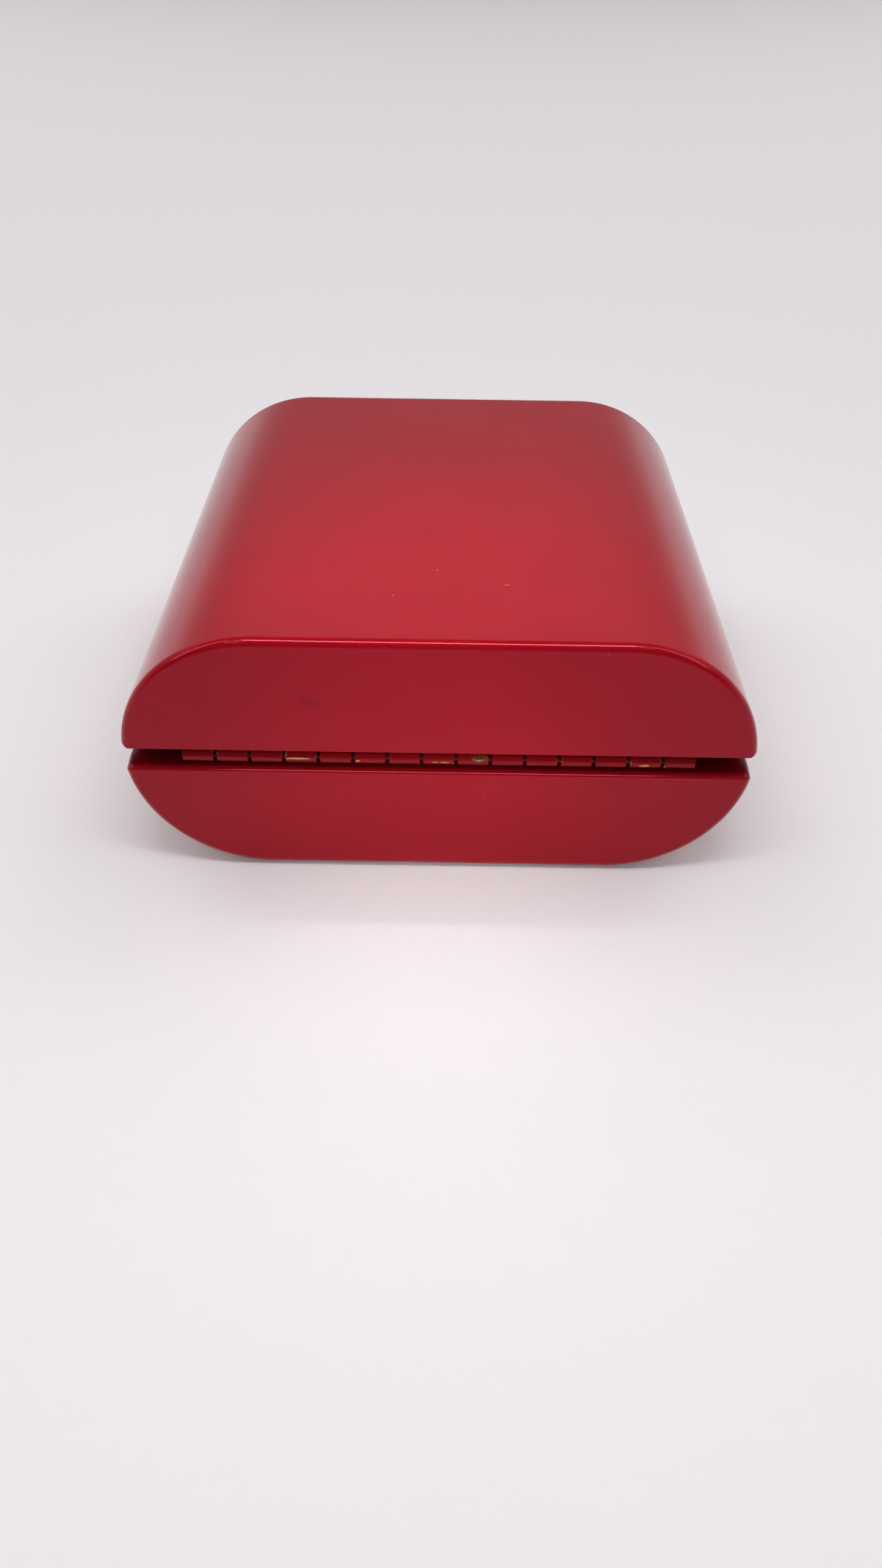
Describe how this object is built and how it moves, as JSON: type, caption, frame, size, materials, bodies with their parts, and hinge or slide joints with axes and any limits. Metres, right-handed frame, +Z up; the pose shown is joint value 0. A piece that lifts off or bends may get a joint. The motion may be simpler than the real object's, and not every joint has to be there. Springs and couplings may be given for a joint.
{
  "type": "hinged keepsake box",
  "caption": "Small lacquered wooden keepsake box with full-round sides; base and lid turn on a piano hinge set in a groove along the back, and the inside is lined and padded.",
  "frame": {"origin": "on the surface that the box stands on, under the middle of its bounding box", "axes": "+X across the box along the hinge, +Y towards the hinge side, +Z up"},
  "size_m": [0.1138, 0.108, 0.0514],
  "materials": {
    "lacquered_wood": "high gloss red lacquer",
    "painted_brass": "red lacquer worn through to brass",
    "bare_brass": "satin",
    "plated_magnet": "nickel plated",
    "velvet": "velvet",
    "felt": "felt"
  },
  "bodies": {
    "base": {"base_trough": "lacquered_wood", "base_front_panel": "lacquered_wood", "base_back_panel": "lacquered_wood", "base_magnet_1": "plated_magnet", "base_magnet_2": "plated_magnet", "base_lining": "velvet", "base_lining_front": "velvet", "base_lining_back": "velvet", "base_pad": "velvet", "base_felt": "felt", "hinge_base_leaf": "painted_brass", "hinge_pin": "bare_brass", "hinge_base_screw_1": "bare_brass", "hinge_base_screw_2": "bare_brass", "hinge_base_screw_3": "bare_brass", "hinge_base_screw_4": "bare_brass"},
    "lid": {"lid_crown": "lacquered_wood", "lid_front_panel": "lacquered_wood", "lid_back_panel": "lacquered_wood", "lid_magnet_1": "plated_magnet", "lid_magnet_2": "plated_magnet", "lid_lining": "velvet", "lid_lining_front": "velvet", "lid_lining_back": "velvet", "lid_pad": "velvet", "hinge_lid_leaf": "painted_brass", "hinge_lid_screw_1": "bare_brass", "hinge_lid_screw_2": "bare_brass", "hinge_lid_screw_3": "bare_brass", "hinge_lid_screw_4": "bare_brass"}
  },
  "joints": [
    {"name": "lid_hinge", "type": "hinge", "parent": "base", "child": "lid", "pos_m": [0, 0.0521, 0.0259], "axis": [-1, 0, 0], "range_deg": [0, 102]}
  ]
}
